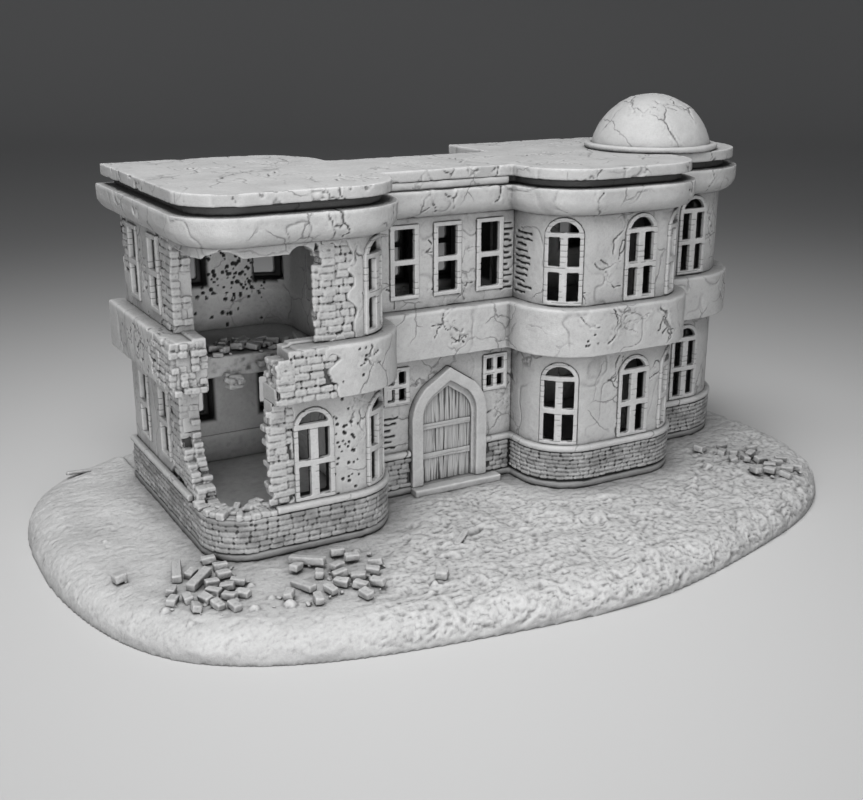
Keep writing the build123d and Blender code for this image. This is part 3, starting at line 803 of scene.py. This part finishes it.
BULLET_HOLES = (
    scattered_holes((47, REAR - WALL, 83), (21, 0, 9), 210, (0.4, 0.95), 1)
    + scattered_holes((66, REAR - WALL, 77), (8, 0, 5), 50, (0.35, 0.8), 8)
    + scattered_holes((56, FRONT, 34), (3.5, 0, 8), 44, (0.45, 0.7), 2)
    + scattered_holes((62, FRONT - BELT_OUT, 65), (4, 1, 4), 26, (0.45, 0.75), 3)
    + scattered_holes((161, FRONT - BELT_OUT, 61), (3.0, 1.0, 2.0), 24, (0.4, 0.6), 4)
    + scattered_holes((12, FRONT + 2, 107), (5, 1, 1.2), 14, (0.4, 0.8), 5)
    + scattered_holes((LEFT, 50, 64), (0, 12, 12), 36, (0.4, 0.65), 6)
    + scattered_holes((LEFT - BELT_OUT, 30, 65), (0, 16, 5), 44, (0.4, 0.7), 9)
    + scattered_holes((44, FRONT, 11), (9, 0, 3), 26, (0.4, 0.6), 7)
)


# ---- walls
WALL_PARTS = ("left_side", "left_front", "left_rear", "centre_front", "core", "bay", "wing", "right_rear")
REAR_WALL_PARTS = ("core", "right_rear")
# Darkness of the painted shade in cracks and folds; the plinth values are stains on its bricks.
CRACK_PAINTED_SHADE = 0.34
FOLD_DEPTH, FOLD_PAINTED_SHADE = 0.22, 0.14
PLINTH_STAIN, CENTRE_STAIN = 0.34, 0.5


def weathered(points, cracks, mask, depth):
    """Cracks with crumpled edges, and folds: how far they move the surface, and the painted shade that
    darkens them.
    """
    split, close = cracks[0] * mask, cracks[1] * mask
    fold = creases(points) * mask
    height = crumpled(points, close) - FOLD_DEPTH * fold - depth * split
    return height, np.maximum(CRACK_PAINTED_SHADE * split, FOLD_PAINTED_SHADE * fold)


def wall_relief(storey):
    """Relief of a plastered wall: unevenness, cracks, lost plaster and bullet holes."""
    def relief(points):
        s, out = plan_coords(points)
        z = points[:, 2]
        outer = smooth_step(-1.6, -0.5, out)
        height = 0.10 * fractal(points, 7.0, 4, 40) + 0.06 * fractal(points, 1.8, 2, 49)
        worn, stain_and_painted_shade = weathered(points, line_depth(s, z, CRACK_LINES, 0.5), outer, 0.5)
        slot = grooves(s, z, GROOVES) * outer
        bare = smooth_step(-0.05, 0.05, patch_mask(s, z, WALL_PATCHES[storey])) * outer
        if storey == "ground":
            stub = (s > s_of(LEFT, 8.4)) & (s < s_of(LEFT, -9)) & (z < 36)
            bare = np.maximum(bare, stub)
        hole = pits(points, BULLET_HOLES)
        height = height + worn - 0.9 * slot - 1.15 * bare - hole
        # Darkening of the colour: painted shade in cracks, folds, bullet holes and on window reveals, and
        # dark mortar in the grooves and behind the bare bricks.
        return height, np.maximum.reduce([
            stain_and_painted_shade, 0.95 * slot, 0.8 * bare, np.minimum(hole * 2.5, 1), reveal_painted_shade(storey, s, out, z)])
    return relief


def build_walls():
    """Plastered wall panels of both storeys."""
    for storey in ("ground", "upper"):
        for part in WALL_PARTS:
            voxel = REAR_WALL_VOXEL if part in REAR_WALL_PARTS else WALL_VOXEL
            sculpt(f"{storey}_wall_{part}", voxel, wall_relief(storey), PLASTER)


def build_bare_brick():
    """Bricks that show where plaster is lost, and at the broken wall ends."""
    for storey, z0, z1 in (("ground", PLINTH_TOP + 2.8, SPLIT), ("upper", BELT_TOP, CORNICE_BOTTOM)):
        blocks = Blocks(20 if storey == "ground" else 21)
        keep = patch_keep(WALL_PATCHES[storey])
        for s0, _, half_s, _, _ in WALL_PATCHES[storey]:
            high = min(s0 + half_s * 1.3, s_of(LEFT, 8)) if s0 < s_of(LEFT, 6) else s0 + half_s * 1.3
            low = max(s0 - half_s * 1.3, 0.5)
            blocks.courses(low, high, z0, z1, -0.3, 1.6, keep, course=BARE_COURSE, length=5.2, play=0.3)
        breach_x = 27.0 if storey == "ground" else 48.0
        foot = 31 if storey == "ground" else z0
        blocks.broken_end(s_of(LEFT, 8), 1, foot, z1, 0.0, WALL, course=BARE_COURSE, reach=2.2)
        blocks.broken_end(s_of(breach_x, FRONT), -1, z0, z1 - 1, 0.0, WALL, course=BARE_COURSE, reach=2.0)
        if storey == "ground":
            lay_stub(blocks)
        blocks.piece(f"{storey}_bare_bricks", f"{storey}_wall_left_side", BRICK)


def lay_stub(blocks):
    """Stepped heap of bricks at the foot of the left wall's broken end, and the broken sill."""
    chance = blocks.random
    for step in range(4):
        top = PLINTH_TOP + 4.4 * (step + 1)
        s_mid = s_of(LEFT, 4.0 * step - 6)
        courses = round((top - PLINTH_TOP) / STUB_COURSE)
        for row in range(courses + 1):
            for layer in range(2):
                if row == courses and chance.random() < 0.45:
                    continue
                z = PLINTH_TOP + STUB_COURSE * (row + 0.5)
                blocks.on_wall(
                    s_mid + blocks.vary(0.8), z + blocks.vary(0.2),
                    0.2 - 4.0 * layer + chance.uniform(-0.4, 0.3),
                    (chance.uniform(3.6, 4.8), 3.8, 2.0), tilt=blocks.vary(7))
    s = s_of(LEFT, -8)
    end = s_of(26, FRONT)
    while s < end:
        wide = chance.uniform(2.6, 3.8)
        for layer in range(2):
            if chance.random() < 0.15 + 0.15 * layer:
                continue
            high = chance.uniform(1.6, 2.8)
            face = 1.6 - 4.6 * layer + chance.uniform(-0.5, 0.4)
            blocks.on_wall(s + wide / 2, PLINTH_TOP - 0.3 + high / 2, face, (wide - 0.4, 4.4, high),
                           tilt=blocks.vary(6))
        s += wide
    for _ in range(14):
        turn = chance.uniform(0, math.pi)
        along = np.array([math.cos(turn), math.sin(turn), blocks.vary(0.3)])
        along /= np.linalg.norm(along)
        side = np.cross([0, 0, 1], along)
        side /= np.linalg.norm(side)
        spot = [chance.uniform(14, 26), chance.uniform(-24, -17), PLINTH_TOP + chance.uniform(0.2, 2.2)]
        blocks.add(spot, [along, side, np.cross(along, side)], (4.8, 2.6, 2.2))


# ---- plinth
# Node: from, to, foot, course height, brick length
PLINTH_RUNS = {
    "plinth_left": (s_of(LEFT, 64), s_of(LEFT_END, -1.5), 0.1, 2.2, 5.0),
    "plinth_centre": (s_of(80, 0), s_of(145, 0), 0.1, 2.3, 4.6),
    "plinth_bay": (s_of(BAY_START, -1.5), s_of(BAY_END, -1.5), 0.9, 1.75, 4.4),
    "plinth_wing": (s_of(BAY_END + 2, 0), s_of(RIGHT, RECESS_Y), 0.1, 1.85, 5.0),
    "plinth_rear": (s_of(RIGHT, RECESS_Y), PERIMETER + s_of(LEFT, 64), 0.1, 2.2, 5.0),
}
DOOR_GAP = (s_of(97.5, 0), s_of(133, 0))


def clear_of_door(s, z):
    """Test for laying a plinth brick: it isn't in the doorway."""
    return not DOOR_GAP[0] - 1 < s < DOOR_GAP[1] + 1


def build_plinth():
    """Mortar core and separate, uneven bricks of each stretch of the plinth."""
    def recess(points):
        _, out = plan_coords(points)
        face = smooth_step(0.4, 1.0, out)
        return 0.08 * fractal(points, 2.0, 2, 8) - 0.75 * face, 0.9 * face

    for k, (node, (s0, s1, foot, course, length)) in enumerate(PLINTH_RUNS.items()):
        sculpt(node, 0.9, recess, PLASTER, node + "_mortar")
        blocks = Blocks(60 + k)
        blocks.courses(s0, s1, foot, PLINTH_TOP, PLINTH_OUT, 2.2, clear_of_door, course=course, length=length,
                       gap=0.38, play=0.18, rough=0.09, tilt=1.2)
        voxel = REAR_BRICK_VOXEL if node == "plinth_rear" else BRICK_VOXEL
        stain = CENTRE_STAIN if node == "plinth_centre" else PLINTH_STAIN
        blocks.piece(node + "_bricks", node, BRICK, voxel=voxel, stain=stain)


def rough(amount, size, octaves, seed):
    """Relief of plain unevenness, with no stain or painted shade."""
    def relief(points):
        return amount * fractal(points, size, octaves, seed), 0
    return relief


def build_trim():
    """Moulding, footing, belt, cornice, roof and dome."""
    def moulding(points):
        s, _ = plan_coords(points)
        split = line_depth(s, points[:, 2], MOULDING_LINES, 0.5)[0]
        # Cracks darkened with painted shade.
        return 0.08 * fractal(points, 3.0, 3, 12) - 0.4 * split, CRACK_PAINTED_SHADE * split

    def neck(points):
        proud = smooth_step(1.6, 3.0, plan_coords(points)[1])
        # Painted shade: the neck is darkened where it lies recessed behind the slab's edge.
        return 0.15 * fractal(points, 4.0, 3, 13), 0.75 * (1 - proud)

    def belt(points):
        s, out = plan_coords(points)
        z = points[:, 2]
        height = 0.10 * fractal(points, 8.0, 4, 14) + 0.05 * fractal(points, 1.6, 2, 15)
        outer = smooth_step(BELT_OUT - 2.5, BELT_OUT - 1.2, out)
        worn, stain_and_painted_shade = weathered(points, line_depth(s, z, CRACK_LINES, 0.5), outer, 0.6)
        bare = smooth_step(-0.05, 0.05, patch_mask(s, z, BELT_PATCHES)) * outer
        hole = pits(points, BULLET_HOLES)
        height = height + worn - 1.2 * bare - hole
        # Darkening of the colour: painted shade in cracks, folds and bullet holes, and dark mortar behind the
        # bare bricks.
        return height, np.maximum.reduce([stain_and_painted_shade, 0.8 * bare, np.minimum(2.5 * hole, 1)])

    def behind_wall(points):
        """Raises the belt's inner face behind the wall above, so that no joint shows in the rooms."""
        hidden = (plan_coords(points)[1] < -3) & (points[:, 2] > BELT_TOP - 1.2)
        return hidden[:, None] * np.array([0, 0, 0.8])

    def cornice(points):
        s, out = plan_coords(points)
        worn, stain_and_painted_shade = weathered(points, line_depth(s, points[:, 2], CRACK_LINES, 0.55), out > 0, 0.5)
        return worn + 0.09 * fractal(points, 9.0, 4, 16) + 0.05 * fractal(points, 1.6, 2, 15), stain_and_painted_shade

    def slab(points):
        s, out = plan_coords(points)
        split, close = line_depth(points[:, 0], points[:, 1], ROOF_LINES, 0.6)
        side = smooth_step(3.6, 4.7, out)
        split = np.maximum(split, side * line_depth(s, points[:, 2] - 9, CRACK_LINES, 0.55)[0])
        worn, stain_and_painted_shade = weathered(points, (split, close), 1.0, 0.45)
        chips = smooth_step(0.6, 0.9, fractal(points, 5.0, 3, 19)) * side
        height = worn + 0.10 * fractal(points, 12.0, 4, 18) + 0.04 * fractal(points, 2.0, 2, 20)
        return height - 0.5 * chips, stain_and_painted_shade

    def dome(points):
        split, close = line_depth(points[:, 0], points[:, 1], DOME_LINES, 0.5)
        height = 0.1 * fractal(points, 9.0, 4, 22) + 0.05 * fractal(points, 2.0, 2, 20)
        height += crumpled(points, close)
        # Cracks darkened with painted shade.
        return height - 0.4 * split, CRACK_PAINTED_SHADE * split

    sculpt("plinth_moulding", 0.46, moulding, PLASTER)
    sculpt("footing", 0.9, rough(0.2, 5.0, 3, 13), SHADE)
    sculpt("belt_front", 0.5, belt, PLASTER, shift=behind_wall)
    sculpt("belt_rear", 0.6, belt, PLASTER, shift=behind_wall)
    sculpt("cornice", 0.6, cornice, PLASTER)
    sculpt("breach_lintel", 0.45, wall_relief("upper"), PLASTER)
    sculpt("roof_slab", 0.58, slab, ROOF, flat_under=True)
    sculpt("roof_neck", 0.8, neck, ROOF)
    sculpt("dome", 0.5, dome, ROOF)
    sculpt("dome_ring", 0.45, dome, ROOF)


MOULDING_LINES = [line for k in range(14) for line in wander((20 + 31.0 * k, 13), 80, 4, 500 + k, 0)]
DOME_LINES = [line for k, (x, y, heading, length) in enumerate([
    (228, -4, 80, 20), (234, 8, 60, 22), (216, 14, 40, 26), (240, 2, 110, 24), (246, 20, 150, 22),
    (222, 30, -20, 26), (236, 44, -80, 20), (252, 12, 120, 18)])
    for line in wander((x, y), heading, length, 520 + k)]


def build_belt_bricks():
    """Bare bricks and broken ends of the belt course at the ruined corner."""
    blocks = Blocks(31)
    keep = patch_keep(BELT_PATCHES)
    for s0, _, half_s, _, _ in BELT_PATCHES:
        low, high = s0 - half_s * 1.2, s0 + half_s * 1.2
        if s0 > s_of(20, FRONT):
            low = s_of(27, FRONT)
        else:
            high = s_of(LEFT, -5)
        blocks.courses(low, high, SPLIT, BELT_TOP, BELT_OUT - 0.2, 1.8, keep, course=BARE_COURSE,
                       length=5.0, play=0.45)
    blocks.broken_end(s_of(LEFT, -5), 1, SPLIT, BELT_TOP, BELT_OUT, WALL, reach=3.0, course=2.8,
                      layers=4, play=0.7)
    blocks.broken_end(s_of(29, FRONT), -1, SPLIT, BELT_TOP - 4, BELT_OUT, WALL, reach=2.6, course=2.8,
                      layers=4)
    blocks.piece("belt_bare_bricks", "belt_front", BRICK)


# ---- floors, windows, door
def build_floors():
    """Room floors, the upper one with a crumbled edge."""
    def ground(points):
        return 0.15 * fractal(points, 6.0, 3, 24) * (points[:, 2] > 0), 0

    def upper(points):
        crumble = smooth_step(24, 17, points[:, 1]) * (points[:, 0] < 70)
        height = 0.12 * fractal(points, 6.0, 3, 25)
        return height + crumble * np.minimum(0.9 * fractal(points, 3.4, 3, 26), 0.25), 0

    blocks = Blocks(90)
    chance = blocks.random
    for _ in range(9):
        spot = [31 + blocks.vary(3), 20.5 + chance.uniform(-2, 1.5),
                chance.uniform(47.6, 52.5)]
        blocks.add(spot, tumbled(chance), (3.6, 2.4, 2.0))
    for x, y in ((47, 19.5), (51, 19), (55, 15), (42, 19.5)):
        blocks.add([x, y, 55 + blocks.vary(3)], tumbled(chance), (4.2, 2.6, 2.2))
    for _ in range(34):
        spot = [chance.uniform(22, 62), chance.uniform(21, 31),
                UPPER_FLOOR_TOP + chance.uniform(0.5, 1.6)]
        size = chance.choice(((4.4, 2.4, 1.8), (3.0, 2.0, 1.5), (1.6, 1.3, 1.0), (1.2, 1.0, 0.8)))
        blocks.add(spot, tumbled(chance), size)
    blocks.piece("upper_floor_broken_bricks", "upper_floor", BRICK)
    sculpt("ground_floor", 1.0, ground, STONE)
    sculpt("upper_floor", 0.75, upper, STONE, flat_under=True)


def build_windows():
    """Cast window frames with worn, blocky rails."""
    def worn(points):
        _, out = plan_coords(points)
        rows = np.abs(np.mod(points[:, 2] / 2.35, 1.0) - 0.5)
        joint = 1 - smooth_step(0.03, 0.10, rows)
        patchy = smooth_step(-0.1, 0.3, fractal(points, 4.0, 2, 27))
        height = 0.06 * fractal(points, 1.8, 3, 28) - 0.15 * joint * patchy
        # Darker deeper inside the frame, painted shade in the opening, and along the patchy rail joints.
        return height, np.maximum(smooth_step(-0.6, -1.4, out), 0.5 * joint * patchy)

    for node in NODES:
        if "_window_" in node:
            sculpt(node, 0.5 if node.endswith("rear") else 0.3, worn, FRAME)


def build_door():
    """Grained planks, battens, surround and step of the door."""
    def grain(points):
        fibres = fractal(points, (0.55, 2.0, 14.0), 3, 29)
        knots = fractal(points, (2.6, 2.6, 5.0), 2, 30)
        split = smooth_step(0.35, 0.7, fractal(points, (0.8, 2, 20), 2, 33))
        return 0.18 * fibres + 0.08 * knots - 0.3 * split, 0.75 * split

    sculpt("door_leaf", 0.26, grain, TIMBER)
    sculpt("door_battens", 0.26, rough(0.12, (9.0, 2.0, 0.6), 3, 31), TIMBER)
    stone = rough(0.12, 3.5, 4, 32)
    sculpt("door_surround", 0.34, stone, STONE)
    sculpt("door_step", 0.36, stone, STONE)


# ---- terrain and rubble
# Half-buried round stones: x, y, radius
PEBBLES = [
    (0, -57, 1.9), (4, -66, 1.7), (16, -68, 2.2), (9, -49, 1.3), (12, -61, 1.2), (-22, -52, 1.5),
    (-17, -63, 1.1), (62, -83, 1.6), (66, -78, 1.3), (54, -40, 1.4), (80, -60, 1.5), (104, -70, 1.3),
    (118, -46, 1.0), (140, -60, 1.4),
    (206, -52, 1.8), (212, -46, 1.2), (226, -38, 2.0), (180, -62, 1.2), (-30, -20, 1.2), (-26, 12, 1.0),
]


def pebbles(points):
    """Height of the half-buried stones."""
    height = np.zeros(len(points))
    for x, y, radius in PEBBLES:
        gap2 = (points[:, 0] - x) ** 2 + (points[:, 1] - y) ** 2
        height = np.maximum(height, np.sqrt(np.maximum(radius ** 2 - gap2, 0)) * 0.8)
    return height * (points[:, 2] > -12)


def build_terrain():
    """Rough ground: soft ripples at the left, rocky folds toward the front and right."""
    def relief(points):
        x, y, z = points.T
        out = plan_coords(points)[1]
        away = smooth_step(2.0, 14.0, out)
        top = smooth_step(-13.4, -10.0, z)
        rocky = smooth_step(40, 75, x - 0.4 * (y + 40)) * smooth_step(3, 20, out)
        soft = 0.8 * noise(points, 32.0, 34) + 0.45 * noise(points, 15.0, 35)
        ripple = 0.24 * fractal(warp(points, 8.0, 2.0, 37), (5.0, 2.4, 2.4), 4, 36, 0.6)
        crumbs = smooth_step(-0.1, 0.5, noise(points, 22.0, 43)) * (0.35 + 0.65 * rocky)
        ripple += crumbs * 0.42 * np.maximum(fractal(points, 2.6, 2, 42, 0.6), -0.2)
        strata = 0.5 - np.abs(fractal(warp(points, 10.0, 3.5, 44), (16.0, 10.0, 3.2), 3, 45, 0.6))
        ridges = 0.5 - np.abs(fractal(warp(points, 12.0, 3.0, 38), (9.0, 6.0, 4.0), 5, 39, 0.55))
        fold = np.abs(noise(points, (10, 14, 9), 41))
        height = away * soft + ripple + pebbles(points)
        height += rocky * (0.95 * ridges + 0.9 * (fold - 0.4) + 0.7 * strata)
        return height * top, 0

    sculpt("terrain_base", 0.78, relief, TERRAIN, flat_under=True)


def block_parts(node):
    """Centre, size and turn of each separate block in a CAD node."""
    parts = []
    for points in islands(node):
        centre = points.mean(0)
        low = points[points[:, 2] < centre[2]][:, :2]
        gaps = np.linalg.norm(low - low[0], axis=1)
        order = np.argsort(gaps)
        side, long = low[order[1]] - low[0], low[order[2]] - low[0]
        size = (np.linalg.norm(long), np.linalg.norm(side), np.ptp(points[:, 2]))
        parts.append((centre, size, math.atan2(long[1], long[0])))
    return parts


def build_rubble():
    """Chipped blocks lying at slightly different tilts where the CAD blocks lie."""
    for k, node in enumerate(("rubble_bricks", "rubble_beams", "loose_stones",
                              "ground_room_rubble", "upper_room_rubble")):
        blocks = Blocks(80 + k)
        for centre, size, turn in block_parts(node):
            if size[0] < 7:
                size = (size[0] * 0.84, size[1], size[2])
            pitch = blocks.vary(0.16)
            roll = blocks.vary(0.2)
            along = direction(turn, pitch)
            side = np.array([-math.sin(turn), math.cos(turn), math.sin(roll)])
            side /= np.linalg.norm(side)
            up = np.cross(along, side)
            blocks.add(centre + [0, 0, 0.35], [along, side, up], size, 0.28, 0.16)
            for _ in range(2 if node == "rubble_bricks" else 1):
                step = np.array([blocks.random.gauss(0, 3.0), blocks.random.gauss(0, 3.0), 0.4 - size[2] / 2])
                tiny = blocks.random.uniform(0.7, 1.5)
                blocks.add(centre + step, tumbled(blocks.random), (tiny * 1.3, tiny, tiny * 0.8), 0.2)
        blocks.piece(node + "_cast", node, BRICK, (node,), RUBBLE_VOXEL)


# ---- stage
# Camera in building millimetres, its yaw toward +X, its pitch below the horizon, and its lens and sensor
# in millimetres
CAMERA_AT = (-115.1, -401.2, 182.1)
CAMERA_YAW = math.radians(29.08)
CAMERA_PITCH = math.radians(17.68)
CAMERA_LENS, SENSOR_WIDTH = 48.915, 36.0

MIDDLE = (0, 0, 0.05)
# Lamps in metres: name, place, size, power, beam in degrees, aim
LAMPS = [
    ("key", (-0.25, -0.58, 0.92), 0.40, 0.98, 70, MIDDLE),
    ("fill", (-0.75, -0.50, 0.40), 0.50, 0.60, 80, MIDDLE),
    ("low", (-0.28, -0.85, 0.14), 0.35, 0.48, 50, (-0.08, 0, 0.07)),
    ("top", (-0.22, 0.00, 0.95), 0.45, 0.95, 65, MIDDLE),
]
SURROUND_COLOUR, SURROUND_STRENGTH = (0.75, 0.76, 0.78, 1), 0.18
FLOOR_REACH, BACKDROP_START, BACKDROP_BEND = 20.0, 1.6, 1.2


def build_camera():
    """Camera at the front left, above the roof."""
    data = bpy.data.cameras.new("camera")
    data.sensor_width = SENSOR_WIDTH
    data.lens = CAMERA_LENS
    camera = bpy.data.objects.new("camera", data)
    camera.location = to_world([CAMERA_AT])[0]
    camera.rotation_euler = (math.pi / 2 - CAMERA_PITCH, 0, -CAMERA_YAW)
    bpy.context.scene.collection.objects.link(camera)
    bpy.context.scene.camera = camera


def area_light(name, at, size, power, spread, aim):
    """Soft square lamp at a place in metres, turned toward aim; spread is its beam in degrees."""
    data = bpy.data.lights.new(name, "AREA")
    data.shape = "SQUARE"
    data.size = size
    data.energy = power
    data.spread = math.radians(spread)
    lamp = bpy.data.objects.new(name, data)
    lamp.location = at
    lamp.rotation_euler = (Vector(aim) - Vector(at)).to_track_quat("-Z", "Y").to_euler()
    bpy.context.scene.collection.objects.link(lamp)


def build_stage():
    """Pale floor, soft lamps and an even surround."""
    mesh = bpy.data.meshes.new("floor")
    profile = [(-FLOOR_REACH, 0.0)]
    for k in range(25):
        angle = math.pi / 2 * k / 24
        profile.append((BACKDROP_START + BACKDROP_BEND * math.sin(angle),
                        BACKDROP_BEND * (1 - math.cos(angle))))
    profile.append((BACKDROP_START + BACKDROP_BEND, FLOOR_REACH))
    turn = -CAMERA_YAW
    rows = [[(side * math.cos(turn) - y * math.sin(turn), side * math.sin(turn) + y * math.cos(turn), z)
             for side in (-FLOOR_REACH, FLOOR_REACH)] for y, z in profile]
    mesh.from_pydata([point for row in rows for point in row], [],
                     [(2 * k, 2 * k + 1, 2 * k + 3, 2 * k + 2) for k in range(len(profile) - 1)])
    mesh.shade_smooth()
    material, tree, shader, add = nodes_of("floor_paint")
    cloud = add("ShaderNodeTexNoise", {"Scale": 3.0, "Detail": 2.0})
    tint = ramp(add, cloud.outputs["Fac"], ((0.3, 0.44), (0.7, 0.48)))
    tree.links.new(tint, shader.inputs["Base Color"])
    shader.inputs["Roughness"].default_value = 0.8
    mesh.materials.append(material)
    floor = bpy.data.objects.new("floor", mesh)
    bpy.context.scene.collection.objects.link(floor)
    for lamp in LAMPS:
        area_light(*lamp)
    world = bpy.data.worlds.new("surround")
    world.use_nodes = True
    background = world.node_tree.nodes["Background"]
    background.inputs["Color"].default_value = SURROUND_COLOUR
    background.inputs["Strength"].default_value = SURROUND_STRENGTH
    bpy.context.scene.world = world
    bpy.context.scene.view_settings.view_transform = "Standard"


# ---- all
build_camera()
build_stage()
build_walls()
build_bare_brick()
build_plinth()
build_trim()
build_belt_bricks()
build_floors()
build_windows()
build_door()
build_terrain()
build_rubble()
